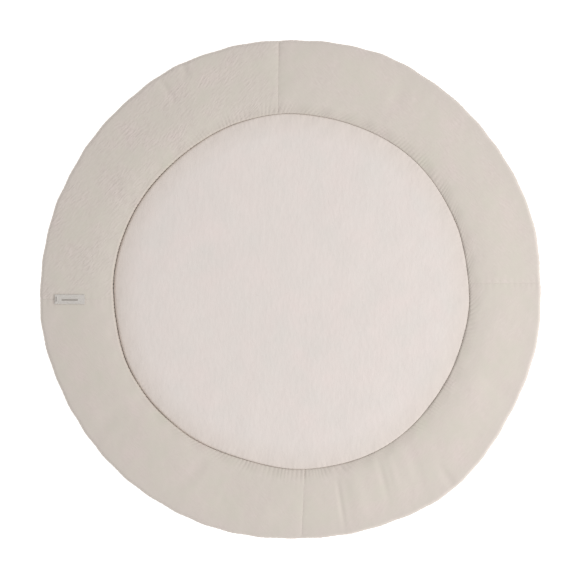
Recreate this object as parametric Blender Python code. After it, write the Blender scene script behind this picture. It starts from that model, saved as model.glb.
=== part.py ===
"""A round padded playpen mat: a plush disc inside a wide jersey border of four filled quarter rings.

Metres, +Z up. The mat lies face up on z = 0, the origin is under the middle of its outline, and
angles are in degrees counterclockwise from +X. A share runs across the border, from 0 at the
ditch, the sunken seam round the disc, to 1 at the rim.
"""

import math

import bmesh
import bpy
from mathutils import Vector

MM = 0.001

# Driving dimensions
RIM_RADIUS = 0.5530
DITCH_RADIUS = 0.3908
DITCH_CENTRE = Vector((0.0007, -0.0040))
PIECE_GAP = 0.0003

# The border in section, above the floor: it crests at a distance from the ditch. Its slope grows
# to the outer slope over the outer run, then stays even to the rim's roll. Over the inner run it
# grows as much the other way, and goes on growing down to the ditch.
BORDER_CREST = 0.0366
CREST_FROM_DITCH = 0.046
INNER_RUN = 0.019
OUTER_RUN = 0.038
OUTER_SLOPE = 0.078
RIM_SEAM = 0.0130
UNDERSIDE_FLAT_SHARE = 0.76

# Heights of the disc and of the ditch, and the width of the disc's steep edge
DISC_MIDDLE = 0.0365
DISC_DOME = 0.0025
DISC_DROP = 0.0035
DISC_DROP_POWER = 11.0
DISC_EDGE_WIDTH = 0.0055
DITCH_HEIGHT = 0.0285
DISC_FOLLOWS_DITCH = 0.5

# Widths of the border's two rolled edges
FLANK_WIDTH = 0.0048
RIM_ROLL = 0.0090

# How square the filled edges are in section: 1 is a straight slope, 2 an ellipse
FLANK_FULLNESS = 2.4
RIM_FULLNESS = 2.6
RIM_UNDERSIDE_FULLNESS = 2.3
DISC_EDGE_FULLNESS = 2.2

# The underside turns up a little along every seam
TUCK_HEIGHT = 0.0020
TUCK_WIDTH = 0.0080

# Gathers along the two round seams: how many, how deep, and how far from the seam they reach
DITCH_GATHERS = 46
DITCH_GATHER_DEPTH = 0.0011
DITCH_GATHER_REACH = 0.030
DISC_GATHER_SHARE = 0.7
RIM_GATHERS = 52
RIM_GATHER_DEPTH = 0.0006

# Folds and grooves fade out over these shares beside the ditch and the rim
FADE_BY_DITCH = 0.12
FADE_BY_RIM = 0.10
GROOVE_WIDTH = 0.0085
GROOVE_AT_DITCH = 0.25

# How finely the pieces are divided: distances from a radial seam, then shares and counts
PANEL_STATIONS = 60
SEAM_STEPS = (0.0, 0.004, 0.010, 0.018, 0.029)
TOP_SHARES = (
    (0.0, 0.0035, 0.012, 0.03, 0.075, 0.15, 0.284, 0.42)
    + (0.56, 0.70, 0.83, 0.944, 0.972, 0.989, 0.998, 1.0)
)
UNDERSIDE_SHARES = (0.975, 0.905, 0.82, UNDERSIDE_FLAT_SHARE, 0.05, 0.0)
LABEL_COLUMNS = 12
LABEL_ROWS = 4

# The rings of the disc's face and of its back: (share of the way out, points in the ring)
DISC_FACE_RINGS = (
    (1.0, 240),
    (0.9982, 240),
    (0.9948, 240),
    (0.9898, 240),
    (0.965, 240),
    (0.935, 120),
    (0.895, 120),
    (0.84, 120),
    (0.76, 60),
    (0.64, 60),
    (0.48, 30),
    (0.30, 30),
    (0.15, 30),
)
DISC_BACK_RINGS = ((1.0, 240), (0.979, 240), (0.80, 120), (0.50, 60), (0.25, 30))

# The label, lying along the left radial seam
LABEL_LENGTH = 0.066
LABEL_WIDTH = 0.021
LABEL_THICKNESS = 0.0010
LABEL_MIDDLE_SHARE = 0.590
LABEL_CLEARANCE = 0.0004

# Uneven stretches of the outline: (angle, half width in degrees, outwards in mm)
RIM_SWELLS = (
    (1.5, 15, -5.2),
    (35, 24, -1.7),
    (67, 13, 3.9),
    (91, 14, -2.4),
    (119, 15, 2.9),
    (153, 8, -1.8),
    (189, 15, 3.6),
    (245, 18, -2.6),
    (269, 22, -6.0),
    (308.5, 23, 11.0),
    (343, 15, -1.2),
)

# Uneven stretches of the ditch: (angle, half width in degrees, outwards in mm)
DITCH_SWELLS = (
    (8, 16, -3.2),
    (49, 24, 3.8),
    (93, 14, 1.8),
    (131, 27, -4.5),
    (174, 20, 3.4),
    (206, 26, 5.2),
    (253, 24, -8.2),
    (302, 28, 5.0),
    (343, 14, -1.4),
)

# Stretches where the ditch lies deeper: (angle, half width in degrees, upwards in mm)
DITCH_DIPS = ((184, 95, -15.0),)

# The four panels: (name, angle of its first seam at the ditch, the same at the rim,
# depth of the groove along that seam in mm). Each panel ends at the next one's first seam.
PANELS = (
    ("border_panel_upper_right", 2.8, 1.7, 0.9),
    ("border_panel_upper_left", 94.6, 93.0, 3.4),
    ("border_panel_lower_left", 182.3, 182.0, 1.4),
    ("border_panel_lower_right", 274.0, 272.2, 2.4),
)
LABEL_PANEL = 2

# Creases and soft ridges of the border: (angle at the ditch, angle at the rim, share where it
# starts, share where it ends, half width in mm, rise in mm)
BORDER_FOLDS = (
    (283.8, 282.4, 0.10, 1.05, 8, -1.8),
    (289.0, 286.8, 0.05, 0.95, 26, 1.6),
    (297.5, 293.6, 0.00, 0.80, 11, -1.4),
    (301.0, 296.6, 0.05, 0.70, 12, 0.9),
    (307.5, 302.5, 0.10, 0.85, 20, -1.2),
    (311.0, 309.4, 0.62, 1.10, 16, -2.2),
    (121.5, 122.2, 0.55, 1.05, 12, -2.2),
    (116.5, 116.0, 0.75, 1.15, 14, -2.8),
    (61.0, 62.5, 0.30, 1.00, 30, -1.6),
    (148.0, 150.0, 0.20, 0.95, 36, -1.5),
    (214.0, 216.0, 0.25, 1.00, 34, -1.8),
    (243.0, 240.0, 0.00, 0.70, 24, -1.6),
    (335.0, 334.0, 0.35, 1.05, 30, -1.7),
)

# Long slow waves of the filling round the border: (cycles, height in mm, phase in degrees)
LOFT_WAVES = (
    (3, 0.9, 40.0),
    (7, 0.6, 215.0),
    (12, 0.4, 100.0),
)

# Fabric colours: (red, green, blue, roughness)
PLUSH = (0.752, 0.690, 0.650, 0.95)
JERSEY = (0.610, 0.540, 0.468, 0.90)
WOVEN_LABEL = (0.545, 0.530, 0.500, 0.80)


def wave(angle):
    return math.cos(math.radians(angle))


def angle_between(a, b):
    """The turn from b to a, between -180 and 180."""
    return (a - b + 180.0) % 360.0 - 180.0


def turn_to(start, end):
    """The counterclockwise turn from one angle to the next."""
    return (end - start) % 360.0


def bump(distance, half_width):
    """A smooth hump of height 1 that ends half_width away."""
    share = abs(distance) / half_width
    if share >= 1.0:
        return 0.0
    return 0.5 + 0.5 * math.cos(math.pi * share)


def swell(table, angle):
    """The sum of a table's uneven stretches at an angle, in metres."""
    return sum(out * MM * bump(angle_between(angle, at), half) for at, half, out in table)


def filled_edge(share, fullness):
    """A filled edge in section: it leaves the seam steeply at 0 and is level from 1 on."""
    return (1.0 - (1.0 - min(share, 1.0)) ** fullness) ** (1.0 / fullness)


def direction(angle):
    return Vector((math.cos(math.radians(angle)), math.sin(math.radians(angle))))


def raised(flat, height):
    """A point of the plan at a height."""
    return Vector((flat.x, flat.y, height))


# The plan: the rim, the ditch and the lines between them


def rim_from_fit(angle):
    """The rim before the outline is centred on the origin."""
    gathers = RIM_GATHER_DEPTH * wave(RIM_GATHERS * angle)
    return direction(angle) * (RIM_RADIUS + swell(RIM_SWELLS, angle) + gathers)


def outline_middle():
    """The middle of the outline's box, which becomes the origin."""
    points = [rim_from_fit(quarter / 4.0) for quarter in range(4 * 360)]
    xs = [p.x for p in points]
    ys = [p.y for p in points]
    return Vector((min(xs) + max(xs), min(ys) + max(ys))) / 2.0


MIDDLE = outline_middle()
DISC_AXIS = DITCH_CENTRE - MIDDLE


def rim_point(angle):
    return rim_from_fit(angle) - MIDDLE


def ditch_point(angle, clearance=0.0):
    """The ditch, moved outwards by a clearance."""
    radius = DITCH_RADIUS + swell(DITCH_SWELLS, angle) + clearance
    return DISC_AXIS + direction(angle) * radius


def radius_at(share):
    return DITCH_RADIUS + (RIM_RADIUS - DITCH_RADIUS) * share


# The heights


def ditch_height(angle):
    """The bottom of the ditch, which lies deepest on the left."""
    return DITCH_HEIGHT + swell(DITCH_DIPS, angle)


def ditch_gather(angle, distance):
    """The cloth puckers beside the ditch stitching and is smooth at the end of its reach."""
    if distance >= DITCH_GATHER_REACH:
        return 0.0
    share = distance / DITCH_GATHER_REACH
    uneven_angle = DITCH_GATHERS * angle + 70.0 * wave(5.0 * angle - 90.0)
    return DITCH_GATHER_DEPTH * 4.0 * share * (1.0 - share) ** 2 * wave(uneven_angle)


def fold_rise(ditch_angle, rim_angle, share):
    """The creases and ridges of the border at one point."""
    angle = ditch_angle + angle_between(rim_angle, ditch_angle) * share
    total = 0.0
    for at_ditch, at_rim, start, end, half_width, rise in BORDER_FOLDS:
        middle = at_ditch + (at_rim - at_ditch) * share
        across = math.radians(angle_between(angle, middle)) * radius_at(share)
        along = bump(share - (start + end) / 2.0, (end - start) / 2.0)
        total += rise * MM * bump(across, half_width * MM) * math.sqrt(along)
    return total


def border_crown(share, angle):
    """The filled border in section, with no folds: a steep flank, a crest, a long outer slope."""
    width = RIM_RADIUS - DITCH_RADIUS
    from_ditch = share * width
    loft = sum(height * MM * wave(cycles * angle + phase) for cycles, height, phase in LOFT_WAVES)
    run = INNER_RUN if from_ditch < CREST_FROM_DITCH else OUTER_RUN
    out = (from_ditch - CREST_FROM_DITCH) / run
    fall = out**2 / 2.0 if out < 1.0 else out - 0.5
    crown = BORDER_CREST + loft - OUTER_SLOPE * run * fall
    low = ditch_height(angle)
    flank = low + (crown - low) * filled_edge(from_ditch / FLANK_WIDTH, FLANK_FULLNESS)
    return RIM_SEAM + (flank - RIM_SEAM) * filled_edge((width - from_ditch) / RIM_ROLL, RIM_FULLNESS)


def border_face(share, ditch_angle, rim_angle, from_seam, groove):
    """The border's face at a distance from a radial seam, which lies in a groove of this depth."""
    fade = filled_edge(share / FADE_BY_DITCH, 2.0) * filled_edge((1.0 - share) / FADE_BY_RIM, 2.0)
    folds = fold_rise(ditch_angle, rim_angle, share)
    sunk = groove * (GROOVE_AT_DITCH + (1.0 - GROOVE_AT_DITCH) * share) * math.exp(-from_seam / GROOVE_WIDTH)
    gather = ditch_gather(ditch_angle, radius_at(share) - DITCH_RADIUS)
    return border_crown(share, rim_angle) + (folds - sunk) * fade + gather


def tuck(distance):
    """How far the underside turns up at a distance from a seam."""
    return TUCK_HEIGHT * max(0.0, 1.0 - distance / TUCK_WIDTH) ** 2


def border_underside(share, from_seam):
    """Flat on the floor, then curving up to the rim seam."""
    height = max(tuck(radius_at(share) - DITCH_RADIUS), tuck(from_seam))
    out = max(0.0, share - UNDERSIDE_FLAT_SHARE) / (1.0 - UNDERSIDE_FLAT_SHARE)
    curl = RIM_SEAM * (1.0 - filled_edge(1.0 - out, RIM_UNDERSIDE_FULLNESS))
    return min(height + curl, RIM_SEAM)


def disc_face(share, angle):
    """The disc's face: a shallow dome that falls away towards its steep edge at the ditch."""
    inwards = (1.0 - share) * DITCH_RADIUS
    low = ditch_height(angle)
    drop = DISC_DROP - DISC_FOLLOWS_DITCH * (low - DITCH_HEIGHT)
    dome = DISC_MIDDLE - DISC_DOME * share**2 - drop * share**DISC_DROP_POWER
    edge = filled_edge(inwards / DISC_EDGE_WIDTH, DISC_EDGE_FULLNESS)
    return low + (dome - low) * edge - DISC_GATHER_SHARE * ditch_gather(angle, inwards)


def disc_back(share, angle):
    return tuck((1.0 - share) * DITCH_RADIUS)


# Building the meshes


def fabric(name, colour):
    """A matt cloth material."""
    red, green, blue, roughness = colour
    material = bpy.data.materials.new(name)
    material.use_nodes = True
    material.diffuse_color = (red, green, blue, 1.0)
    shader = material.node_tree.nodes["Principled BSDF"]
    shader.inputs["Base Color"].default_value = (red, green, blue, 1.0)
    shader.inputs["Roughness"].default_value = roughness
    shader.inputs["Metallic"].default_value = 0.0
    return material


def make_object(name, builder, material):
    """Turns a finished bmesh into a smooth object with its faces pointing out."""
    mesh = bpy.data.meshes.new(name)
    bmesh.ops.recalc_face_normals(builder, faces=builder.faces[:])
    builder.to_mesh(mesh)
    builder.free()
    mesh.shade_smooth()
    mesh.set_sharp_from_angle(angle=math.radians(40))
    mesh.materials.append(material)
    made = bpy.data.objects.new(name, mesh)
    bpy.context.scene.collection.objects.link(made)
    return made


def join_rings(builder, wide, narrow):
    """Joins two closed rings of vertices, the second with as many points or half as many."""
    count = len(wide)
    step = count // len(narrow)
    for i in range(0, count, step):
        a = narrow[i // step]
        b = narrow[(i // step + 1) % len(narrow)]
        after = wide[(i + 1) % count]
        if step == 1:
            builder.faces.new((wide[i], after, b, a))
            continue
        builder.faces.new((wide[i], after, a))
        builder.faces.new((after, b, a))
        builder.faces.new((after, wide[(i + 2) % count], b))


def close_ring(builder, ring, point):
    """Fills a ring with a fan round one point."""
    middle = builder.verts.new(point)
    for i, corner in enumerate(ring):
        builder.faces.new((corner, ring[(i + 1) % len(ring)], middle))


# The centre pad


def disc_ring(builder, share, count, height):
    ring = []
    for i in range(count):
        angle = 360.0 * i / count
        flat = DISC_AXIS.lerp(ditch_point(angle, -PIECE_GAP / 2.0), share)
        ring.append(builder.verts.new(raised(flat, height(share, angle))))
    return ring


def make_centre_pad(material):
    builder = bmesh.new()
    face = [disc_ring(builder, share, count, disc_face) for share, count in DISC_FACE_RINGS]
    back = [disc_ring(builder, share, count, disc_back) for share, count in DISC_BACK_RINGS]
    for rings in (face, back):
        for wide, narrow in zip(rings, rings[1:]):
            join_rings(builder, wide, narrow)
    join_rings(builder, face[0], back[0])
    close_ring(builder, face[-1], raised(DISC_AXIS, disc_face(0.0, 0.0)))
    close_ring(builder, back[-1], raised(DISC_AXIS, disc_back(0.0, 0.0)))
    return make_object("centre_pad", builder, material)


# The border panels


def station_shares():
    """Where the stations lie along a panel, from 0 to 1: close together by its two seams."""
    length = math.radians(90.0) * RIM_RADIUS
    near = [step / length for step in SEAM_STEPS]
    count = PANEL_STATIONS - 2 * (len(near) - 1)
    stretch = 1.0 - 2.0 * near[-1]
    middle = [near[-1] + stretch * i / count for i in range(1, count)]
    return near + middle + [1.0 - share for share in reversed(near)]


def panel_loop(panel, along):
    """The closed section of a panel at one station, as points in space."""
    _, ditch_from, rim_from, groove_from = PANELS[panel]
    _, ditch_to, rim_to, groove_to = PANELS[(panel + 1) % len(PANELS)]
    ditch_angle = ditch_from + turn_to(ditch_from, ditch_to) * along
    rim_angle = rim_from + turn_to(rim_from, rim_to) * along
    inner = ditch_point(ditch_angle, PIECE_GAP / 2.0)
    outer = rim_point(rim_angle)
    aside = seam_clearance(inner, outer, along)
    inner += aside
    outer += aside
    groove = (groove_from if along < 0.5 else groove_to) * MM
    seam_turn = math.radians(turn_to(rim_from, rim_to)) * min(along, 1.0 - along)
    points = []
    for share in TOP_SHARES:
        from_seam = seam_turn * radius_at(share)
        height = border_face(share, ditch_angle, rim_angle, from_seam, groove)
        points.append(raised(inner.lerp(outer, share), height))
    for share in UNDERSIDE_SHARES:
        height = border_underside(share, seam_turn * radius_at(share))
        points.append(raised(inner.lerp(outer, share), height))
    return points


def seam_clearance(inner, outer, along):
    """Half the gap between two panels, away from the radial seam at a panel's two ends."""
    out = (outer - inner).normalized()
    counterclockwise = Vector((-out.y, out.x)) * PIECE_GAP / 2.0
    if along == 0.0:
        return counterclockwise
    if along == 1.0:
        return -counterclockwise
    return Vector((0.0, 0.0))


def make_border_panel(panel, material):
    builder = bmesh.new()
    loops = [[builder.verts.new(p) for p in panel_loop(panel, s)] for s in station_shares()]
    for loop, following in zip(loops, loops[1:]):
        join_rings(builder, loop, following)
    builder.faces.new(loops[0])
    builder.faces.new(loops[-1])
    return make_object(PANELS[panel][0], builder, material)


# The label


def label_spot(share, across):
    """A point of the plan under the label, and the height of the cloth there."""
    _, ditch_angle, rim_angle, groove = PANELS[LABEL_PANEL]
    inner = ditch_point(ditch_angle)
    outer = rim_point(rim_angle)
    out = (outer - inner).normalized()
    flat = inner.lerp(outer, share) + Vector((-out.y, out.x)) * across
    return flat, border_face(share, ditch_angle, rim_angle, abs(across), groove * MM)


def label_grid(builder, lift):
    """One layer of the label. It lies on the cloth at its long edges and spans the groove."""
    grid = []
    for column in range(LABEL_COLUMNS + 1):
        off_middle = LABEL_LENGTH * (0.5 - column / LABEL_COLUMNS)
        share = LABEL_MIDDLE_SHARE + off_middle / (RIM_RADIUS - DITCH_RADIUS)
        height = label_spot(share, LABEL_WIDTH / 2.0)[1] + LABEL_CLEARANCE + lift
        line = []
        for row in range(LABEL_ROWS + 1):
            flat, _ = label_spot(share, LABEL_WIDTH * (row / LABEL_ROWS - 0.5))
            line.append(builder.verts.new(raised(flat, height)))
        grid.append(line)
    return grid


def grid_rim(grid):
    """The outer vertices of a grid, in order."""
    down_first = grid[0][:-1]
    along_last = [line[-1] for line in grid[:-1]]
    up_last = grid[-1][:0:-1]
    back = [line[0] for line in grid[:0:-1]]
    return down_first + along_last + up_last + back


def make_label(material):
    builder = bmesh.new()
    layers = [label_grid(builder, 0.0), label_grid(builder, LABEL_THICKNESS)]
    for grid in layers:
        for line, following in zip(grid, grid[1:]):
            for corners in zip(line, line[1:], following[1:], following):
                builder.faces.new(corners)
    join_rings(builder, grid_rim(layers[0]), grid_rim(layers[1]))
    return make_object("label", builder, material)


def clear_scene():
    for old in list(bpy.data.objects):
        bpy.data.objects.remove(old)


def main():
    clear_scene()
    plush = fabric("plush", PLUSH)
    jersey = fabric("jersey", JERSEY)
    woven = fabric("woven_label", WOVEN_LABEL)
    make_centre_pad(plush)
    for panel in range(len(PANELS)):
        make_border_panel(panel, jersey)
    make_label(woven)


main()
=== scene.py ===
"""The finished cloth, setting and light of a round padded playpen mat.

Metres, +Z up. The mat lies face up on z = 0, the origin is under the middle of its outline, and
angles are in degrees counterclockwise from +X. A share runs across the border, from 0 at the
ditch, the sunken seam round the disc, to 1 at the rim. The plan and the heights are those of the
solids. The cloth over them is finer: it swells and puckers between its seams.
"""

import math

import bmesh
import bpy
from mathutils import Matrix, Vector, noise
from mathutils.bvhtree import BVHTree


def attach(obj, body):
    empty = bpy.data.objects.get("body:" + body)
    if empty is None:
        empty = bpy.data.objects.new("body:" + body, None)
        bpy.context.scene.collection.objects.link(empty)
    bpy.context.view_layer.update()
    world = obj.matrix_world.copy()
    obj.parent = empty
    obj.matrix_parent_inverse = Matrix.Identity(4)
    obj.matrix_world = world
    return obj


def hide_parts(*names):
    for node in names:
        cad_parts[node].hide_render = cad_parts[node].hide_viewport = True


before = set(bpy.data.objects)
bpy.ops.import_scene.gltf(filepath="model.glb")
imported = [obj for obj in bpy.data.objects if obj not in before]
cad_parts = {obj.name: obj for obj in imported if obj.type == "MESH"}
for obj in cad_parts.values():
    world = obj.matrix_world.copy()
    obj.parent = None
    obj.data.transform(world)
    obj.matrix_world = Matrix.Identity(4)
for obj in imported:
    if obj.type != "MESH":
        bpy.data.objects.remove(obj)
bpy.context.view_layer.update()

MM = 0.001

# The plan, as in the solids
RIM_RADIUS = 0.5530
DITCH_RADIUS = 0.3908
DITCH_CENTRE = Vector((0.0007, -0.0040))
CLOTH_GAP = 0.0001
SEAM_GAP = 0.00002
RIM_GATHERS = 52
RIM_GATHER_DEPTH = 0.0006

# The border in section, above the floor: it crests at a distance from the ditch. Its slope grows
# to the outer slope over the outer run, then stays even to the rim's roll. Over the inner run it
# grows as much the other way, and goes on growing down to the ditch.
BORDER_CREST = 0.0366
CREST_FROM_DITCH = 0.046
INNER_RUN = 0.019
OUTER_RUN = 0.038
OUTER_SLOPE = 0.078
RIM_SEAM = 0.0130
UNDERSIDE_FLAT_SHARE = 0.76

# Heights of the disc and of the ditch, and the width of the disc's steep edge
DISC_MIDDLE = 0.0365
DISC_DOME = 0.0025
DISC_DROP = 0.0035
DISC_DROP_POWER = 11.0
DISC_EDGE_WIDTH = 0.0055
DITCH_HEIGHT = 0.0285
DISC_FOLLOWS_DITCH = 0.5

# Widths of the border's two rolled edges
FLANK_WIDTH = 0.0048
RIM_ROLL = 0.0090

# How square the filled edges are in section: 1 is a straight slope, 2 an ellipse
FLANK_FULLNESS = 2.4
RIM_FULLNESS = 2.6
RIM_UNDERSIDE_FULLNESS = 2.3
DISC_EDGE_FULLNESS = 2.2

# The underside turns up a little along every seam
TUCK_HEIGHT = 0.0020
TUCK_WIDTH = 0.0080

# The long gathers of the solids along the ditch
DITCH_GATHERS = 46
DITCH_GATHER_DEPTH = 0.0011
DITCH_GATHER_REACH = 0.030
DISC_GATHER_SHARE = 0.7

# Folds and grooves fade out over these shares beside the ditch and the rim
FADE_BY_DITCH = 0.12
FADE_BY_RIM = 0.10
GROOVE_WIDTH = 0.0085
GROOVE_AT_DITCH = 0.25

# The label, lying along the left radial seam
LABEL_LENGTH = 0.066
LABEL_WIDTH = 0.021
LABEL_THICKNESS = 0.0008
LABEL_MIDDLE_SHARE = 0.590
LABEL_CLEARANCE = 0.0004

# Uneven stretches of the outline: (angle, half width in degrees, outwards in mm)
RIM_SWELLS = (
    (1.5, 15, -5.2),
    (35, 24, -1.7),
    (67, 13, 3.9),
    (91, 14, -2.4),
    (119, 15, 2.9),
    (153, 8, -1.8),
    (189, 15, 3.6),
    (245, 18, -2.6),
    (269, 22, -6.0),
    (308.5, 23, 11.0),
    (343, 15, -1.2),
)

# Uneven stretches of the ditch: (angle, half width in degrees, outwards in mm)
DITCH_SWELLS = (
    (8, 16, -3.2),
    (49, 24, 3.8),
    (93, 14, 1.8),
    (131, 27, -4.5),
    (174, 20, 3.4),
    (206, 26, 5.2),
    (253, 24, -8.2),
    (302, 28, 5.0),
    (343, 14, -1.4),
)

# Stretches where the ditch lies deeper: (angle, half width in degrees, upwards in mm)
DITCH_DIPS = ((184, 95, -15.0),)

# The four panels: (name, angle of its first seam at the ditch, the same at the rim,
# depth of the groove along that seam in mm). Each panel ends at the next one's first seam.
PANELS = (
    ("border_panel_upper_right", 2.8, 1.7, 0.9),
    ("border_panel_upper_left", 94.6, 93.0, 3.4),
    ("border_panel_lower_left", 182.3, 182.0, 1.4),
    ("border_panel_lower_right", 274.0, 272.2, 2.4),
)
LABEL_PANEL = 2
# How strongly each panel's knit stands out
RIBBING = (0.55, 1.25, 0.32, 0.36)

# Creases and soft ridges of the border: (angle at the ditch, angle at the rim, share where it
# starts, share where it ends, half width in mm, rise in mm)
BORDER_FOLDS = (
    (283.8, 282.4, 0.10, 1.05, 8, -1.8),
    (289.0, 286.8, 0.05, 0.95, 26, 1.6),
    (297.5, 293.6, 0.00, 0.80, 11, -1.4),
    (301.0, 296.6, 0.05, 0.70, 12, 0.9),
    (307.5, 302.5, 0.10, 0.85, 20, -1.2),
    (311.0, 309.4, 0.62, 1.10, 16, -2.2),
    (121.5, 122.2, 0.55, 1.05, 12, -2.2),
    (116.5, 116.0, 0.75, 1.15, 14, -2.8),
    (61.0, 62.5, 0.30, 1.00, 30, -1.6),
    (148.0, 150.0, 0.20, 0.95, 36, -1.5),
    (214.0, 216.0, 0.25, 1.00, 34, -1.8),
    (243.0, 240.0, 0.00, 0.70, 24, -1.6),
    (335.0, 334.0, 0.35, 1.05, 30, -1.7),
)

# Long slow waves of the filling round the border: (cycles, height in mm, phase in degrees)
LOFT_WAVES = (
    (3, 0.9, 40.0),
    (7, 0.6, 215.0),
    (12, 0.4, 100.0),
)

# How finely the cloth is divided: distances from a seam, then spacings, in metres
SEAM_STEPS = (0.0, 0.0006, 0.0015, 0.0028, 0.0045, 0.0068, 0.0100)
CLOTH_SPACING = 0.0044
# Shares of a filled edge's height where its rows lie
FLANK_LEVELS = (0.0, 0.07, 0.16, 0.27, 0.38, 0.50, 0.61, 0.71, 0.80, 0.87, 0.93, 0.97, 0.993)
RIM_LEVELS = (0.999, 0.985, 0.94, 0.87, 0.78, 0.68, 0.57, 0.46, 0.35, 0.25, 0.16, 0.08, 0.03, 0.0)
CURL_LEVELS = (0.04, 0.10, 0.18, 0.28, 0.40, 0.53, 0.66, 0.78, 0.88, 0.96)
UNDERSIDE_SHARES = (0.74, 0.64, 0.50, 0.36, 0.22, 0.11, 0.055, 0.02, 0.0)
DISC_COLUMNS = 576
# The disc's rings: (distance in from the ditch in metres, how many columns share a point)
DISC_FACE_RINGS = (
    (0.0, 1),
    (0.0004, 1),
    (0.0011, 1),
    (0.0021, 1),
    (0.0034, 1),
    (0.0052, 1),
    (0.0076, 1),
    (0.0108, 1),
    (0.0146, 1),
    (0.0188, 1),
    (0.0234, 1),
    (0.0285, 1),
    (0.0345, 1),
    (0.0415, 2),
    (0.0500, 2),
    (0.0600, 2),
    (0.0715, 2),
    (0.0845, 2),
    (0.1000, 2),
    (0.1180, 4),
    (0.1390, 4),
    (0.1640, 4),
    (0.1930, 4),
    (0.2250, 8),
    (0.2600, 8),
    (0.3000, 8),
    (0.3400, 16),
)
DISC_BACK_RINGS = (
    (0.0, 1),
    (0.0020, 1),
    (0.0050, 1),
    (0.0100, 2),
    (0.0250, 2),
    (0.0600, 4),
    (0.1300, 4),
    (0.2200, 8),
    (0.3100, 8),
)


# Numbers and curves


def wave(angle):
    return math.cos(math.radians(angle))


def angle_between(a, b):
    """The turn from b to a, between -180 and 180."""
    return (a - b + 180.0) % 360.0 - 180.0


def turn_to(start, end):
    """The counterclockwise turn from one angle to the next."""
    return (end - start) % 360.0


def bump(distance, half_width):
    """A smooth hump of height 1 that ends half_width away."""
    share = abs(distance) / half_width
    if share >= 1.0:
        return 0.0
    return 0.5 + 0.5 * math.cos(math.pi * share)


def swell(table, angle):
    """The sum of a table's uneven stretches at an angle, in metres."""
    return sum(out * MM * bump(angle_between(angle, at), half) for at, half, out in table)


def filled_edge(share, fullness):
    """A filled edge in section: it leaves the seam steeply at 0 and is level from 1 on."""
    return (1.0 - (1.0 - min(share, 1.0)) ** fullness) ** (1.0 / fullness)


def share_at_level(level, fullness):
    """Where a filled edge reaches a share of its height: filled_edge the other way round."""
    return 1.0 - (1.0 - level**fullness) ** (1.0 / fullness)


def direction(angle):
    return Vector((math.cos(math.radians(angle)), math.sin(math.radians(angle))))


def raised(flat, height):
    """A point of the plan at a height."""
    return Vector((flat.x, flat.y, height))


# The plan: the rim, the ditch and the lines between them


def rim_from_fit(angle):
    """The rim before the outline is centred on the origin."""
    gathers = RIM_GATHER_DEPTH * wave(RIM_GATHERS * angle)
    return direction(angle) * (RIM_RADIUS + swell(RIM_SWELLS, angle) + gathers)


def outline_middle():
    """The middle of the outline's box, which becomes the origin."""
    points = [rim_from_fit(quarter / 4.0) for quarter in range(4 * 360)]
    xs = [p.x for p in points]
    ys = [p.y for p in points]
    return Vector((min(xs) + max(xs), min(ys) + max(ys))) / 2.0


MIDDLE = outline_middle()
DISC_AXIS = DITCH_CENTRE - MIDDLE


def rim_point(angle):
    return rim_from_fit(angle) - MIDDLE


def ditch_point(angle, clearance=0.0):
    """The ditch, moved outwards by a clearance."""
    radius = DITCH_RADIUS + swell(DITCH_SWELLS, angle) + clearance
    return DISC_AXIS + direction(angle) * radius


def radius_at(share):
    return DITCH_RADIUS + (RIM_RADIUS - DITCH_RADIUS) * share


# The heights


def ditch_height(angle):
    """The bottom of the ditch, which lies deepest on the left."""
    return DITCH_HEIGHT + swell(DITCH_DIPS, angle)


def ditch_gather(angle, distance):
    """The cloth puckers beside the ditch stitching and is smooth at the end of its reach."""
    if distance >= DITCH_GATHER_REACH:
        return 0.0
    share = distance / DITCH_GATHER_REACH
    uneven_angle = DITCH_GATHERS * angle + 70.0 * wave(5.0 * angle - 90.0)
    return DITCH_GATHER_DEPTH * 4.0 * share * (1.0 - share) ** 2 * wave(uneven_angle)


def fold_rise(ditch_angle, rim_angle, share):
    """The creases and ridges of the border at one point."""
    angle = ditch_angle + angle_between(rim_angle, ditch_angle) * share
    total = 0.0
    for at_ditch, at_rim, start, end, half_width, rise in BORDER_FOLDS:
        middle = at_ditch + (at_rim - at_ditch) * share
        across = math.radians(angle_between(angle, middle)) * radius_at(share)
        along = bump(share - (start + end) / 2.0, (end - start) / 2.0)
        total += rise * MM * bump(across, half_width * MM) * math.sqrt(along)
    return total


def border_crown(share, angle):
    """The filled border in section, with no folds: a steep flank, a crest, a long outer slope."""
    width = RIM_RADIUS - DITCH_RADIUS
    from_ditch = share * width
    loft = sum(height * MM * wave(cycles * angle + phase) for cycles, height, phase in LOFT_WAVES)
    run = INNER_RUN if from_ditch < CREST_FROM_DITCH else OUTER_RUN
    out = (from_ditch - CREST_FROM_DITCH) / run
    fall = out**2 / 2.0 if out < 1.0 else out - 0.5
    crown = BORDER_CREST + loft - OUTER_SLOPE * run * fall
    low = ditch_height(angle)
    flank = low + (crown - low) * filled_edge(from_ditch / FLANK_WIDTH, FLANK_FULLNESS)
    return RIM_SEAM + (flank - RIM_SEAM) * filled_edge((width - from_ditch) / RIM_ROLL, RIM_FULLNESS)


def border_face(share, ditch_angle, rim_angle, from_seam, groove):
    """The border's face at a distance from a radial seam, which lies in a groove of this depth."""
    fade = filled_edge(share / FADE_BY_DITCH, 2.0) * filled_edge((1.0 - share) / FADE_BY_RIM, 2.0)
    folds = fold_rise(ditch_angle, rim_angle, share)
    depth = groove * (GROOVE_AT_DITCH + (1.0 - GROOVE_AT_DITCH) * share)
    sunk = depth * math.exp(-from_seam / GROOVE_WIDTH)
    gather = ditch_gather(ditch_angle, radius_at(share) - DITCH_RADIUS)
    return border_crown(share, rim_angle) + (folds - sunk) * fade + gather


def tuck(distance):
    """How far the underside turns up at a distance from a seam."""
    return TUCK_HEIGHT * max(0.0, 1.0 - distance / TUCK_WIDTH) ** 2


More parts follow.
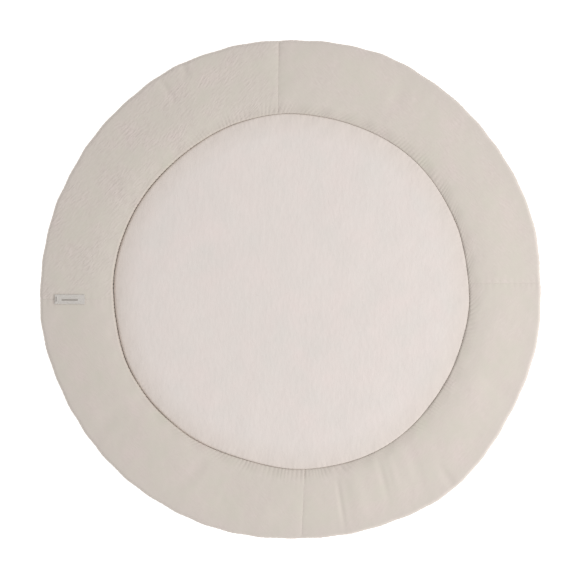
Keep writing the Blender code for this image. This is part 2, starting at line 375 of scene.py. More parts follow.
def border_underside(share, from_seam):
    """Flat on the floor, then curving up to the rim seam."""
    height = max(tuck(radius_at(share) - DITCH_RADIUS), tuck(from_seam))
    out = max(0.0, share - UNDERSIDE_FLAT_SHARE) / (1.0 - UNDERSIDE_FLAT_SHARE)
    curl = RIM_SEAM * (1.0 - filled_edge(1.0 - out, RIM_UNDERSIDE_FULLNESS))
    return min(height + curl, RIM_SEAM)


def disc_face(share, angle):
    """The disc's face: a shallow dome that falls away towards its steep edge at the ditch."""
    inwards = (1.0 - share) * DITCH_RADIUS
    low = ditch_height(angle)
    drop = DISC_DROP - DISC_FOLLOWS_DITCH * (low - DITCH_HEIGHT)
    dome = DISC_MIDDLE - DISC_DOME * share**2 - drop * share**DISC_DROP_POWER
    edge = filled_edge(inwards / DISC_EDGE_WIDTH, DISC_EDGE_FULLNESS)
    return low + (dome - low) * edge - DISC_GATHER_SHARE * ditch_gather(angle, inwards)


def disc_back(share, angle):
    return tuck((1.0 - share) * DITCH_RADIUS)


# Small relief of the cloth. A spot is a vertex's place on the cloth: how far along the ditch and
# how far along the rim, then how far from the ditch, the rim and the nearest radial seam. It also
# holds how deep the groove of that seam is there, if it is on the face, and how ribbed the knit is.

# Puckers of the cloth along a seam: (pitch, depth, distance where they are deepest) in mm
BORDER_DITCH_PUCKERS = (8.5, 1.00, 8.0)
DISC_DITCH_PUCKERS = (12.0, 0.55, 4.5)
RIM_PUCKERS = (12.5, 0.60, 5.0)
SEAM_PUCKERS = (13.0, 0.60, 4.0)
# Where the puckers at the ditch lean aside: (angle, half width in degrees, sideways for each
# metre outwards, in thousandths)
PUCKER_LEAN = (
    (12, 38, -1400),
    (75, 30, 900),
    (140, 35, -500),
    (228, 40, 700),
    (300, 30, -900),
)
# The radial seams' narrow valley, as a share of the groove that it lies in, then the depth of
# the rim seam's, and their widths
SEAM_VALLEY_SHARE = 0.16
SEAM_VALLEY_WIDTH = 0.0014
RIM_VALLEY = 0.0009
RIM_VALLEY_WIDTH = 0.0012
# A vertex this near to a radial seam lies on it
ON_SEAM = 0.00005
# Unevenness of the filling under the cloth: (size of the lumps, height) in mm
FILLING_LUMPS = ((95.0, 1.3), (38.0, 0.7), (16.0, 0.25))


def pucker_row(along, pitch, seed):
    """A row of puckers along a seam: rounded, with narrow creases between, uneven in width."""
    drift = 1.3 * noise.noise(Vector((along / (6.0 * pitch), seed, 0.0)))
    strength = 0.75 + 1.1 * noise.noise(Vector((along / (3.5 * pitch), seed, 7.0)))
    row = abs(math.cos(math.pi * (along / pitch + drift))) - 2.0 / math.pi
    return row * min(max(strength, 0.1), 1.5)


def puckers(sizes, along, away, seed):
    """The relief of a seam's puckers at a distance from it."""
    pitch, depth, deepest = (size * MM for size in sizes)
    if away > 7.0 * deepest:
        return 0.0
    near = away / deepest
    return depth * near * math.exp(1.0 - near) * pucker_row(along, pitch, seed)


def filling_lumps(point, seed):
    """The filling's unevenness under a point."""
    total = 0.0
    for size, height in FILLING_LUMPS:
        at = Vector((point.x / (size * MM), point.y / (size * MM), seed + size))
        total += height * MM * noise.noise(at)
    return total


# Building the meshes


def link(name, mesh):
    made = bpy.data.objects.new(name, mesh)
    bpy.context.scene.collection.objects.link(made)
    return made


SPOT_KEYS = (
    ("by_ditch", "by_rim", "from_ditch", "from_rim")
    + ("from_seam", "seam_depth", "is_face", "ribbing")
)


def finish_mesh(name, builder, spots, flats):
    """Turns a bmesh into an object that keeps each vertex's spot and flat place on the cloth."""
    flat_map = builder.loops.layers.uv.new("cloth")
    builder.verts.ensure_lookup_table()
    builder.verts.index_update()
    for face in builder.faces:
        face.smooth = True
        for corner in face.loops:
            corner[flat_map].uv = flats[corner.vert.index]
    bmesh.ops.recalc_face_normals(builder, faces=builder.faces[:])
    mesh = bpy.data.meshes.new(name)
    builder.to_mesh(mesh)
    builder.free()
    for number, key in enumerate(SPOT_KEYS):
        values = mesh.attributes.new(key, "FLOAT", "POINT")
        values.data.foreach_set("value", [spot[number] for spot in spots])
    return link(name, mesh)


def join_rings(builder, wide, narrow):
    """Joins two closed rings of vertices, the second with as many points or half as many."""
    count = len(wide)
    step = count // len(narrow)
    for i in range(0, count, step):
        a = narrow[i // step]
        b = narrow[(i // step + 1) % len(narrow)]
        after = wide[(i + 1) % count]
        if step == 1:
            builder.faces.new((wide[i], after, b, a))
            continue
        builder.faces.new((wide[i], after, a))
        builder.faces.new((after, b, a))
        builder.faces.new((after, wide[(i + 2) % count], b))


def close_ring(builder, ring, point):
    """Fills a ring with a fan round one point."""
    middle = builder.verts.new(point)
    for i, corner in enumerate(ring):
        builder.faces.new((corner, ring[(i + 1) % len(ring)], middle))


# The border panels


def face_shares():
    """The rows of a panel's face, from the ditch to the rim seam."""
    width = RIM_RADIUS - DITCH_RADIUS
    flank = [FLANK_WIDTH * share_at_level(level, FLANK_FULLNESS) for level in FLANK_LEVELS]
    rim = [width - RIM_ROLL * share_at_level(level, RIM_FULLNESS) for level in RIM_LEVELS]
    count = round((rim[0] - FLANK_WIDTH) / CLOTH_SPACING)
    middle = [FLANK_WIDTH + (rim[0] - FLANK_WIDTH) * i / count for i in range(count)]
    return [distance / width for distance in flank + middle + rim]


def underside_shares():
    """The rows of a panel's underside, from beside the rim seam to the ditch."""
    curl = [1.0 - share_at_level(level, RIM_UNDERSIDE_FULLNESS) for level in CURL_LEVELS]
    wide = 1.0 - UNDERSIDE_FLAT_SHARE
    return [UNDERSIDE_FLAT_SHARE + wide * out for out in curl] + list(UNDERSIDE_SHARES)


def station_shares():
    """Where the stations lie along a panel, from 0 to 1: close together by its two seams."""
    length = math.radians(90.0) * RIM_RADIUS
    near = [step / length for step in SEAM_STEPS]
    stretch = 1.0 - 2.0 * near[-1]
    count = round(stretch * length / CLOTH_SPACING)
    middle = [near[-1] + stretch * i / count for i in range(1, count)]
    return near + middle + [1.0 - share for share in reversed(near)]


def seam_clearance(inner, outer, along):
    """Half the gap between two panels, away from the radial seam at a panel's two ends."""
    out = (outer - inner).normalized()
    counterclockwise = Vector((-out.y, out.x)) * SEAM_GAP / 2.0
    if along == 0.0:
        return counterclockwise
    if along == 1.0:
        return -counterclockwise
    return Vector((0.0, 0.0))


def panel_loop(panel, along, face_rows, underside_rows):
    """The closed section of a panel at one station: its points and their spots."""
    _, ditch_from, rim_from, groove_from = PANELS[panel]
    _, ditch_to, rim_to, groove_to = PANELS[(panel + 1) % len(PANELS)]
    ditch_angle = ditch_from + turn_to(ditch_from, ditch_to) * along
    rim_angle = rim_from + turn_to(rim_from, rim_to) * along
    inner = ditch_point(ditch_angle, CLOTH_GAP / 2.0)
    outer = rim_point(rim_angle)
    aside = seam_clearance(inner, outer, along)
    inner += aside
    outer += aside
    groove = (groove_from if along < 0.5 else groove_to) * MM
    seam_turn = math.radians(turn_to(rim_from, rim_to)) * min(along, 1.0 - along)
    points = []
    seams = []
    for share in face_rows:
        from_seam = seam_turn * radius_at(share)
        height = border_face(share, ditch_angle, rim_angle, from_seam, groove)
        points.append(raised(inner.lerp(outer, share), height))
        seams.append(from_seam)
    for share in underside_rows:
        from_seam = seam_turn * radius_at(share)
        points.append(raised(inner.lerp(outer, share), border_underside(share, from_seam)))
        seams.append(from_seam)
    lengths = [0.0]
    for point, following in zip(points, points[1:]):
        lengths.append(lengths[-1] + (following - point).length)
    rim_row = len(face_rows) - 1
    by_ditch = math.radians(ditch_angle) * DITCH_RADIUS
    by_rim = math.radians(rim_angle) * RIM_RADIUS
    spots = []
    for row, length in enumerate(lengths):
        from_rim = abs(length - lengths[rim_row])
        is_face = float(row <= rim_row)
        depth = groove * min(length / lengths[rim_row], 1.0) ** 1.5
        spots.append((by_ditch, by_rim, length, from_rim, seams[row], depth, is_face, RIBBING[panel]))
    middle_angle = (rim_from + turn_to(rim_from, rim_to) / 2.0) % 360.0
    flats = [flat_place(rim_angle, DITCH_RADIUS + length, middle_angle) for length in lengths]
    return points, spots, flats


def flat_place(angle, radius, middle_angle):
    """A point of the flat cloth of a quarter ring, whose ribs run along its chord."""
    turn = math.radians(angle - middle_angle)
    return (radius * math.sin(turn), radius * math.cos(turn))


def make_border_panel(panel):
    builder = bmesh.new()
    spots = []
    flats = []
    loops = []
    face_rows = face_shares()
    underside_rows = underside_shares()
    for along in station_shares():
        points, loop_spots, loop_flats = panel_loop(panel, along, face_rows, underside_rows)
        loops.append([builder.verts.new(point) for point in points])
        spots += loop_spots
        flats += loop_flats
    for loop, following in zip(loops, loops[1:]):
        join_rings(builder, loop, following)
    for loop in (loops[0], loops[-1]):
        close_panel_end(builder, loop, len(face_rows))
        keep_sharp(builder, loop)
    return finish_mesh("jersey" + PANELS[panel][0][len("border_panel") :], builder, spots, flats)


def keep_sharp(builder, loop):
    """Keeps a closed row of vertices where it is when the mesh is rounded."""
    sharp = builder.edges.layers.float.get("crease_edge") or builder.edges.layers.float.new("crease_edge")
    for corner, following in zip(loop, loop[1:] + loop[:1]):
        edge = builder.edges.get((corner, following))
        if edge:
            edge[sharp] = 1.0


def close_panel_end(builder, loop, face_count):
    """Fills a panel's end with strips between its face rows and its underside rows."""
    upper = loop[:face_count]
    lower = loop[:face_count - 1:-1]
    top, bottom = 0, 0
    while top < len(upper) - 1 or bottom < len(lower) - 1:
        top_next = (top + 1) / len(upper)
        bottom_next = (bottom + 1) / len(lower)
        step_top = bottom == len(lower) - 1 or (top < len(upper) - 1 and top_next <= bottom_next)
        if step_top:
            builder.faces.new((upper[top], upper[top + 1], lower[bottom]))
            top += 1
        else:
            builder.faces.new((upper[top], lower[bottom + 1], lower[bottom]))
            bottom += 1


# The plush disc


def disc_ring(builder, inwards, shared, height, is_face, spots, flats):
    ring = []
    share = 1.0 - inwards / DITCH_RADIUS
    count = DISC_COLUMNS // shared
    for i in range(count):
        angle = 360.0 * i / count
        flat = DISC_AXIS.lerp(ditch_point(angle, -CLOTH_GAP / 2.0), share)
        ring.append(builder.verts.new(raised(flat, height(share, angle))))
        by_ditch = math.radians(angle) * DITCH_RADIUS
        spots.append((by_ditch, by_ditch, inwards, 1.0, 1.0, 0.0, is_face, 0.0))
        flats.append(tuple(flat))
    return ring


def make_plush_disc():
    builder = bmesh.new()
    spots = []
    flats = []
    layers = ((DISC_FACE_RINGS, disc_face, 1.0), (DISC_BACK_RINGS, disc_back, 0.0))
    made = []
    for table, height, is_face in layers:
        rings = [disc_ring(builder, a, n, height, is_face, spots, flats) for a, n in table]
        for wide, narrow in zip(rings, rings[1:]):
            join_rings(builder, wide, narrow)
        close_ring(builder, rings[-1], raised(DISC_AXIS, height(0.0, 0.0)))
        spots.append((0.0, 0.0, DITCH_RADIUS, 1.0, 1.0, 0.0, is_face, 0.0))
        flats.append(tuple(DISC_AXIS))
        made.append(rings)
    join_rings(builder, made[0][0], made[1][0])
    return finish_mesh("plush_disc", builder, spots, flats)


# Finishing the cloth


def apply_modifiers(piece):
    """Makes what the modifiers show the piece's own mesh."""
    graph = bpy.context.evaluated_depsgraph_get()
    mesh = bpy.data.meshes.new_from_object(piece.evaluated_get(graph))
    piece.modifiers.clear()
    old = piece.data
    piece.data = mesh
    bpy.data.meshes.remove(old)


def subdivide(piece):
    smoother = piece.modifiers.new("rounded", "SUBSURF")
    smoother.levels = 1
    smoother.render_levels = 1
    apply_modifiers(piece)


def spots_of(mesh):
    """The spot of every vertex, as a tuple for each."""
    columns = []
    for key in SPOT_KEYS:
        values = [0.0] * len(mesh.vertices)
        mesh.attributes[key].data.foreach_get("value", values)
        columns.append(values)
    return list(zip(*columns))


def border_relief(point, spot):
    """How far a border vertex stands out of the smooth cloth."""
    by_ditch, by_rim, from_ditch, from_rim, from_seam, seam_depth, is_face, _ = spot
    rim_row = puckers(RIM_PUCKERS, by_rim, from_rim, 11.0)
    rim_valley = -RIM_VALLEY * math.exp(-from_rim / RIM_VALLEY_WIDTH)
    if is_face < 0.5:
        return (rim_row + rim_valley) * filled_edge(point.z / RIM_SEAM, 2.0)
    angle = math.degrees(by_ditch / DITCH_RADIUS)
    leaning = by_ditch + swell(PUCKER_LEAN, angle) * from_ditch
    ditch_row = puckers(BORDER_DITCH_PUCKERS, leaning, from_ditch, 3.0)
    seam_row = puckers(SEAM_PUCKERS, from_ditch, from_seam, 5.0)
    seam_valley = -SEAM_VALLEY_SHARE * seam_depth * math.exp(-from_seam / SEAM_VALLEY_WIDTH)
    near_seam = filled_edge(min(from_seam, from_rim, from_ditch) / 0.02, 2.0)
    lumps = filling_lumps(point, 1.0) * near_seam
    return rim_row + rim_valley + ditch_row + seam_row + seam_valley + lumps


def disc_relief(point, spot):
    """How far a disc vertex stands out of the smooth cloth."""
    by_ditch, _, from_ditch, _, _, _, is_face, _ = spot
    if is_face < 0.5:
        return 0.0
    ditch_row = puckers(DISC_DITCH_PUCKERS, by_ditch, from_ditch, 23.0)
    return ditch_row + filling_lumps(point, 40.0) * filled_edge(from_ditch / 0.03, 2.0)


def add_relief(piece, relief):
    """Moves every vertex along its normal by the relief at its spot, but none across a radial seam."""
    mesh = piece.data
    normals = [vertex.normal.copy() for vertex in mesh.vertices]
    from_seam = SPOT_KEYS.index("from_seam")
    for vertex, normal, spot in zip(mesh.vertices, normals, spots_of(mesh)):
        if spot[from_seam] < ON_SEAM:
            around = Vector((-vertex.co.y, vertex.co.x, 0.0)).normalized()
            normal = (normal - normal.dot(around) * around).normalized()
        vertex.co += normal * relief(vertex.co, spot)
    mesh.update()


# The label


def label_spot(share, across):
    """A point of the plan under the label."""
    _, ditch_angle, rim_angle, _ = PANELS[LABEL_PANEL]
    inner = ditch_point(ditch_angle)
    outer = rim_point(rim_angle)
    out = (outer - inner).normalized()
    return inner.lerp(outer, share) + Vector((-out.y, out.x)) * across


LABEL_COLUMNS = 44
LABEL_ROWS = 15


def label_heights(cloth):
    """The height of the cloth under each point of the label, before the label is spanned stiffly over the
    groove.
    """
    heights = []
    for column in range(LABEL_COLUMNS + 1):
        off_middle = LABEL_LENGTH * (0.5 - column / LABEL_COLUMNS)
        share = LABEL_MIDDLE_SHARE + off_middle / (RIM_RADIUS - DITCH_RADIUS)
        found = []
        for row in range(LABEL_ROWS + 1):
            flat = label_spot(share, LABEL_WIDTH * (row / LABEL_ROWS - 0.5))
            hits = [tree.ray_cast(raised(flat, 0.2), Vector((0, 0, -1)))[0] for tree in cloth]
            found.append(max(hit.z for hit in hits if hit))
        heights.append(found)
    return heights


def make_label(cloth):
    """The woven tape: two layers joined round their rim, lying on the cloth."""
    builder = bmesh.new()
    under = label_heights([BVHTree.FromObject(c, bpy.context.evaluated_depsgraph_get()) for c in cloth])
    layers = []
    spots = []
    flats = []
    for lift in (0.0, LABEL_THICKNESS):
        grid = []
        for column in range(LABEL_COLUMNS + 1):
            off_middle = LABEL_LENGTH * (0.5 - column / LABEL_COLUMNS)
            share = LABEL_MIDDLE_SHARE + off_middle / (RIM_RADIUS - DITCH_RADIUS)
            line = []
            for row in range(LABEL_ROWS + 1):
                across = LABEL_WIDTH * (row / LABEL_ROWS - 0.5)
                near = under[max(0, column - 3) : column + 4]
                highest = max(max(found) for found in near)
                own = under[column][row]
                height = own + 0.75 * (highest - own) + LABEL_CLEARANCE + lift
                line.append(builder.verts.new(raised(label_spot(share, across), height)))
                spots.append((0.0, 0.0, 1.0, 1.0, 1.0, 0.0, 1.0, 0.0))
                flats.append((off_middle, across))
            grid.append(line)
        layers.append(grid)
    for grid in layers:
        for line, following in zip(grid, grid[1:]):
            for corners in zip(line, line[1:], following[1:], following):
                builder.faces.new(corners)
    join_rings(builder, grid_rim(layers[0]), grid_rim(layers[1]))
    return finish_mesh("woven_tape", builder, spots, flats)


def grid_rim(grid):
    """The outer vertices of a grid, in order."""
    down_first = grid[0][:-1]
    along_last = [line[-1] for line in grid[:-1]]
    up_last = grid[-1][:0:-1]
    back = [line[0] for line in grid[:0:-1]]
    return down_first + along_last + up_last + back


# Materials


class Finish:
    """A material in the making, with short ways to add and join its nodes."""

    def __init__(self, name):
        self.material = bpy.data.materials.new(name)
        self.material.use_nodes = True
        self.tree = self.material.node_tree
        self.shader = self.tree.nodes["Principled BSDF"]

    def add(self, kind, inputs=None, **settings):
        """Adds a node. Its inputs are values, or sockets to join."""
        made = self.tree.nodes.new("ShaderNode" + kind)
        for name, value in settings.items():
            setattr(made, name, value)
        for key, value in (inputs or {}).items():
            self.feed(made, key, value)
        return made

    def feed(self, node, key, value):
        if isinstance(value, bpy.types.NodeSocket):
            self.tree.links.new(value, node.inputs[key])
        else:
            node.inputs[key].default_value = value

    def maths(self, operation, first, second):
        return self.add("Math", {0: first, 1: second}, operation=operation).outputs[0]

    def cloth_place(self):
        """The place on the flat cloth, in metres."""
        return self.add("UVMap", uv_map="cloth").outputs["UV"]

    def spot(self, key):
        """One of the values kept at each vertex."""
        return self.add("Attribute", attribute_name=key).outputs["Fac"]

    def stretched(self, place, scale, turn=0.0):
        """The place with its two directions scaled, after a turn in degrees."""
        inputs = {"Vector": place, "Scale": scale, "Rotation": (0.0, 0.0, math.radians(turn))}
        return self.add("Mapping", inputs).outputs["Vector"]

    def noise(self, place, size, detail=2.0, roughness=0.5):
        """Noise with humps of this size in metres, around 0.5."""
        inputs = {"Vector": place, "Scale": 1.0 / size, "Detail": detail, "Roughness": roughness}
        return self.add("TexNoise", inputs).outputs["Fac"]

    def between(self, amount, low, high, from_low=0.3, from_high=0.7):
        """Maps an amount to a range."""
        inputs = {"Value": amount, "From Min": from_low, "From Max": from_high}
        inputs["To Min"] = low
        inputs["To Max"] = high
        return self.add("MapRange", inputs).outputs["Result"]

    def brick(self, place, size, joint, darkest):
        """Staggered stitches of a length and row height, with soft dark joints between them."""
        inputs = {"Vector": place, "Scale": 1.0, "Mortar Size": joint, "Mortar Smooth": 1.0}
        inputs["Color1"] = rgb(darkest, darkest, darkest)
        inputs["Color2"] = rgb(1.0, 1.0, 1.0)
        inputs["Mortar"] = rgb(0.0, 0.0, 0.0)
        inputs["Brick Width"], inputs["Row Height"] = size
        return self.add("TexBrick", inputs).outputs["Color"]

    def mix(self, amount, first, second):
        made = self.add("Mix", data_type="RGBA")
        for key, value in {"Factor": amount, "A": first, "B": second}.items():
            socket = next(s for s in made.inputs if s.name == key and s.enabled)
            if isinstance(value, bpy.types.NodeSocket):
                self.tree.links.new(value, socket)
            else:
                socket.default_value = value
        return next(s for s in made.outputs if s.enabled)

    def bump(self, height, distance, normal=None):
        inputs = {"Height": height, "Distance": distance, "Strength": 1.0}
        if normal is not None:
            inputs["Normal"] = normal
        return self.add("Bump", inputs).outputs["Normal"]


def rgb(red, green, blue):
    return (red, green, blue, 1.0)


# The jersey's colours, then the sizes of its stitches, ribs, patches and fibres in metres
JERSEY = rgb(0.677, 0.618, 0.563)
JERSEY_PINK = rgb(0.716, 0.613, 0.584)
JERSEY_GREEN = rgb(0.652, 0.630, 0.536)
# Painted shade: the jersey's colour over its outer part beside the rim
JERSEY_RIM_SHADE = rgb(0.652, 0.588, 0.545)
# Painted shade in the rib hollows, along the rim seam and beside the ditch, and the dark of the stitch
# joints
JERSEY_SHADE_AND_JOINTS = rgb(0.500, 0.440, 0.388)
JERSEY_BLOOM = rgb(0.95, 0.90, 0.84)
STITCH_SIZE = (0.0030, 0.0021)
STITCH_JOINT = 0.0008
STITCH_DRIFT = 0.0050
DRIFT_SIZE = 0.012
RIB_SIZE = 0.0040
RIB_STRETCH = 0.30
JERSEY_PATCH_SIZE = 0.060
JERSEY_MOTTLE_SIZE = 0.22
FIBRE_SIZE = 0.0022
FIBRE_STRETCH = 1.8
RIB_RELIEF = 0.0004
FIBRE_RELIEF = 0.0001
# Where painted shade darkens the jersey beside the rim, along the rim seam and beside the ditch: the
# start and end of each fade
RIM_SHADE_FADE = (0.0, 0.060)
RIM_SEAM_SHADE = (0.001, 0.010)
DITCH_SHADE = (0.006, 0.028)

# The plush's colours and sizes
PLUSH = rgb(0.790, 0.722, 0.684)
PLUSH_GREY = rgb(0.742, 0.700, 0.664)
PLUSH_ROSE = rgb(0.806, 0.712, 0.680)
# Painted shade beside the ditch
PLUSH_EDGE_SHADE = rgb(0.735, 0.660, 0.608)
# Painted shade in the hollows of the pile
PLUSH_HOLLOW_SHADE = rgb(0.60, 0.52, 0.48)
PLUSH_BLOOM = rgb(1.0, 0.96, 0.93)
PLUSH_PATCH_SIZE = 0.075
PLUSH_MOTTLE_SIZE = 0.26
PILE_SIZE = 0.0019
PILE_SHARE = 0.22
BRUSH_SIZE = 0.0085
BRUSH_STRETCH = 0.45
BRUSH_TURN = 12.0
PLUSH_RELIEF = 0.0011
# Where the painted shade beside the ditch fades: its start and end
PLUSH_EDGE_FADE = (0.004, 0.055)

# The label's colours and sizes
TAPE = rgb(0.700, 0.655, 0.612)
TAPE_GROOVE = rgb(0.55, 0.53, 0.50)
TAPE_WORN = rgb(0.74, 0.72, 0.69)
TAPE_STRIPE = rgb(0.430, 0.392, 0.358)
TAPE_BLOOM = rgb(0.9, 0.9, 0.9)
THREAD = rgb(0.120, 0.095, 0.080)
TAPE_STITCH_SIZE = (0.0011, 0.0006)
TAPE_JOINT = 0.00016
TAPE_WEAR_SIZE = 0.009
TAPE_RELIEF = 0.00018
# The label's woven stripe and its bar of dark stitches: middle and half size, along and across
STRIPE = (0.000, 0.0015, 0.0180, 0.0020)
BAR = (0.0300, 0.0000, 0.0009, 0.0055)
BAR_STITCH = 0.0011
SOFT_EDGE = 0.0003

SHEEN_ROUGHNESS = 0.5
CLOTH_SPECULAR = 0.15


def jersey_finish():
    """Textured knit: short staggered stitches in ribs along the chord, softly mottled, with painted shade
    in the rib hollows and beside the rim, the rim seam and the ditch.
    """
    made = Finish("jersey_knit")
    place = made.cloth_place()
    drift = made.maths("SUBTRACT", made.noise(place, DRIFT_SIZE, 3.0), 0.5)
    aside = made.maths("MULTIPLY", drift, STITCH_DRIFT)
    moved = made.add("CombineXYZ", {"X": aside, "Y": aside}).outputs[0]
    wander = made.add("VectorMath", {0: place, 1: moved}, operation="ADD").outputs[0]
    stitch = made.brick(wander, STITCH_SIZE, STITCH_JOINT, 0.35)
    ribs = made.noise(made.stretched(place, (RIB_STRETCH, 1.0, 1.0)), RIB_SIZE, 1.0, 0.4)
    fibre = made.noise(made.stretched(place, (1.0, FIBRE_STRETCH, 1.0)), FIBRE_SIZE, 4.0, 0.65)
    patch = made.noise(place, JERSEY_PATCH_SIZE, 3.0, 0.6)
    tint = made.mix(made.between(patch, 0.0, 1.0), JERSEY_PINK, JERSEY_GREEN)
    mottle = made.between(made.noise(place, JERSEY_MOTTLE_SIZE, 2.0), 0.2, 0.9)
    broad = made.mix(mottle, JERSEY, tint)
    standing = made.maths("MULTIPLY", made.between(patch, 1.3, 0.3, 0.35, 0.6), made.spot("ribbing"))
    relief = made.maths("MULTIPLY", made.between(ribs, -0.5, 0.5), standing)
    # Painted shade: the jersey darkens over its outer part towards the rim
    outer = made.mix(made.between(made.spot("from_rim"), 0.80, 0.0, *RIM_SHADE_FADE), broad, JERSEY_RIM_SHADE)
    # Painted shade along the rim seam
    wear_and_shade = made.mix(made.between(made.spot("from_rim"), 0.30, 0.0, *RIM_SEAM_SHADE), outer, JERSEY_SHADE_AND_JOINTS)
    inner = made.mix(made.between(made.spot("from_ditch"), 0.26, 0.0, *DITCH_SHADE), wear_and_shade, JERSEY_SHADE_AND_JOINTS)
    # Painted shade in the hollows of the ribs
    ribbed = made.mix(made.between(relief, 0.20, 0.0, -0.5, 0.3), inner, JERSEY_SHADE_AND_JOINTS)
    specks = made.mix(made.between(stitch, 0.06, 0.0, 0.0, 0.8), ribbed, JERSEY_SHADE_AND_JOINTS)
    made.feed(made.shader, "Base Color", specks)
    made.feed(made.shader, "Roughness", made.between(fibre, 0.82, 0.98))
    fine = made.maths("ADD", made.maths("MULTIPLY", stitch, 0.5), made.maths("MULTIPLY", fibre, 0.5))
    under = made.bump(fine, FIBRE_RELIEF)
    made.feed(made.shader, "Normal", made.bump(relief, RIB_RELIEF, under))
    sheen(made, 0.18, JERSEY_BLOOM)
    return made.material


def plush_finish():
    """Short-pile plush: fine tufts, brushed in places, softly mottled from grey to rose, with painted
    shade in the hollows of the pile and beside the ditch.
    """
    made = Finish("plush_pile")
    place = made.cloth_place()
    patch = made.noise(place, PLUSH_PATCH_SIZE, 3.0, 0.55)
    tint = made.mix(made.between(patch, 0.0, 1.0), PLUSH_GREY, PLUSH_ROSE)
    mottle = made.between(made.noise(place, PLUSH_MOTTLE_SIZE, 2.0), 0.25, 0.85)
    colour = made.mix(mottle, PLUSH, tint)
    pile = made.maths("MULTIPLY", made.noise(place, PILE_SIZE, 3.0, 0.6), PILE_SHARE)
    along = made.stretched(place, (1.0, BRUSH_STRETCH, 1.0), BRUSH_TURN)
    brushed = made.maths("MULTIPLY", made.noise(along, BRUSH_SIZE, 3.0, 0.55), 1.0 - PILE_SHARE)
    tufts = made.maths("ADD", pile, brushed)
    # Painted shade: the plush darkens towards the ditch
    near = made.between(made.spot("from_ditch"), 0.80, 0.0, *PLUSH_EDGE_FADE)
    edge_shaded = made.mix(near, colour, PLUSH_EDGE_SHADE)
    # Painted shade in the hollows between the tufts
    made.feed(made.shader, "Base Color", made.mix(made.between(tufts, 0.10, 0.0), edge_shaded, PLUSH_HOLLOW_SHADE))
    made.feed(made.shader, "Roughness", made.between(tufts, 0.86, 1.0))
    made.feed(made.shader, "Normal", made.bump(tufts, PLUSH_RELIEF))
    sheen(made, 0.30, PLUSH_BLOOM)
    return made.material


def tape_finish():
    """Fine woven tape with a plain stripe, held at its outer end by a bar of dark stitches."""
    made = Finish("woven_label_tape")
    place = made.cloth_place()
    weave = made.brick(place, TAPE_STITCH_SIZE, TAPE_JOINT, 0.6)
    wear = made.noise(place, TAPE_WEAR_SIZE, 3.0)
    woven = made.mix(made.between(weave, 0.30, 0.0, 0.0, 1.0), TAPE, TAPE_GROOVE)
    wear_and_shade = made.mix(made.between(wear, 0.0, 0.2), woven, TAPE_WORN)
    striped = made.mix(tape_patch(made, place, STRIPE), wear_and_shade, TAPE_STRIPE)
    thread = made.maths("MULTIPLY", tape_patch(made, place, BAR), made.noise(place, BAR_STITCH, 1.0, 0.4))
    barred = made.mix(made.between(thread, 0.0, 1.0, 0.25, 0.45), striped, THREAD)
    made.feed(made.shader, "Base Color", barred)
    made.feed(made.shader, "Roughness", made.between(wear, 0.62, 0.80))
    made.feed(made.shader, "Normal", made.bump(weave, TAPE_RELIEF))
    sheen(made, 0.10, TAPE_BLOOM)
    return made.material


def tape_patch(made, place, patch):
    """1 inside an upright patch of the label, 0 outside it, with a soft edge."""
    middle_along, middle_across, half_length, half_width = patch
    split = made.add("SeparateXYZ", {"Vector": place})
    sides = []
    for axis, middle, half in (("X", middle_along, half_length), ("Y", middle_across, half_width)):
        away = made.maths("ABSOLUTE", made.maths("SUBTRACT", split.outputs[axis], middle), 0.0)
        sides.append(made.between(away, 1.0, 0.0, half - SOFT_EDGE, half + SOFT_EDGE))
    return made.maths("MULTIPLY", sides[0], sides[1])


def sheen(made, weight, tint):
    """The soft bloom of fibre ends at a low angle."""
    made.shader.inputs["Sheen Weight"].default_value = weight
    made.shader.inputs["Sheen Roughness"].default_value = SHEEN_ROUGHNESS
    made.shader.inputs["Sheen Tint"].default_value = tint
    made.shader.inputs["Specular IOR Level"].default_value = CLOTH_SPECULAR


def floor_finish():
    made = Finish("floor_paper")
    place = made.add("TexCoord").outputs["Object"]
    grain = made.noise(place, FLOOR_GRAIN_SIZE, 2.0)
    made.feed(made.shader, "Base Color", made.mix(grain, FLOOR_PALE, FLOOR_PALER))
    made.shader.inputs["Roughness"].default_value = 1.0
    made.shader.inputs["Specular IOR Level"].default_value = 0.0
    made.shader.inputs["Emission Color"].default_value = rgb(1.0, 1.0, 1.0)
    made.shader.inputs["Emission Strength"].default_value = FLOOR_GLOW
    return made.material


# The setting

FLOOR_PALE = rgb(0.93, 0.93, 0.93)
FLOOR_PALER = rgb(0.95, 0.95, 0.95)
FLOOR_GRAIN_SIZE = 0.5
FLOOR_GLOW = 0.55
FLOOR_SIZE = 12.0
CAMERA_HEIGHT = 6.0
CAMERA_PLACE = (-0.0011, -0.0011)
FRAME_WIDTH = 1.2806
SENSOR_WIDTH = 36.0
KEY_PLACE = Vector((3.15, -0.75, 2.4))
KEY_SIZE = 1.6
KEY_POWER = 74.0
SKY_STRENGTH = 0.70


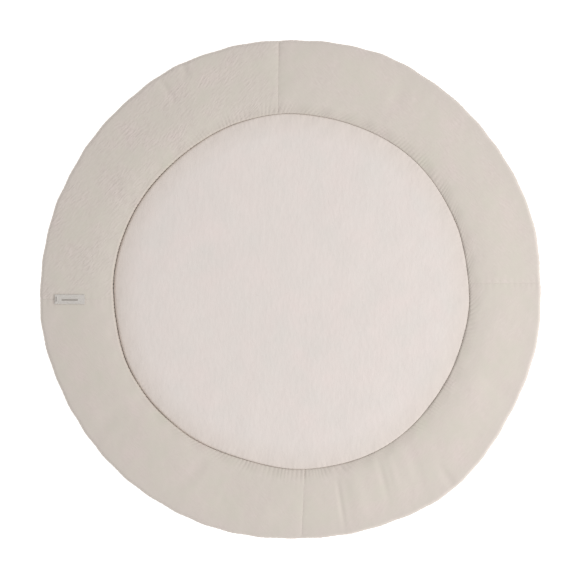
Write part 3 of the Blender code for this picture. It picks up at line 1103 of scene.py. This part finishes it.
def add_camera():
    """Straight above the mat."""
    lens = bpy.data.cameras.new("camera")
    lens.sensor_width = SENSOR_WIDTH
    lens.lens = SENSOR_WIDTH * CAMERA_HEIGHT / FRAME_WIDTH
    camera = bpy.data.objects.new("camera", lens)
    camera.location = (*CAMERA_PLACE, CAMERA_HEIGHT)
    bpy.context.scene.collection.objects.link(camera)
    bpy.context.scene.camera = camera


def add_lights():
    """One soft lamp from the right and an even white sky."""
    lamp = bpy.data.lights.new("key", "AREA")
    lamp.shape = "DISK"
    lamp.size = KEY_SIZE
    lamp.energy = KEY_POWER
    key = bpy.data.objects.new("key", lamp)
    key.location = KEY_PLACE
    key.rotation_euler = (-KEY_PLACE).to_track_quat("-Z", "Y").to_euler()
    bpy.context.scene.collection.objects.link(key)
    world = bpy.data.worlds.new("sky")
    world.use_nodes = True
    world.node_tree.nodes["Background"].inputs["Color"].default_value = rgb(1.0, 1.0, 1.0)
    world.node_tree.nodes["Background"].inputs["Strength"].default_value = SKY_STRENGTH
    bpy.context.scene.world = world


def add_floor():
    builder = bmesh.new()
    bmesh.ops.create_grid(builder, x_segments=8, y_segments=8, size=FLOOR_SIZE / 2.0)
    mesh = bpy.data.meshes.new("floor")
    builder.to_mesh(mesh)
    builder.free()
    mesh.materials.append(floor_finish())
    link("floor", mesh)


def dress(piece, node, material):
    """Puts a finished piece on the mat in place of its solid."""
    piece.data.materials.append(material)
    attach(piece, "root")
    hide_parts(node)


def main():
    jersey = jersey_finish()
    panels = []
    for number, (node, _, _, _) in enumerate(PANELS):
        piece = make_border_panel(number)
        subdivide(piece)
        add_relief(piece, border_relief)
        dress(piece, node, jersey)
        panels.append(piece)
    disc = make_plush_disc()
    subdivide(disc)
    add_relief(disc, disc_relief)
    dress(disc, "centre_pad", plush_finish())
    tape = make_label([panels[LABEL_PANEL - 1], panels[LABEL_PANEL]])
    dress(tape, "label", tape_finish())
    add_floor()
    add_lights()
    add_camera()
    bpy.context.scene.view_settings.view_transform = "Standard"


main()
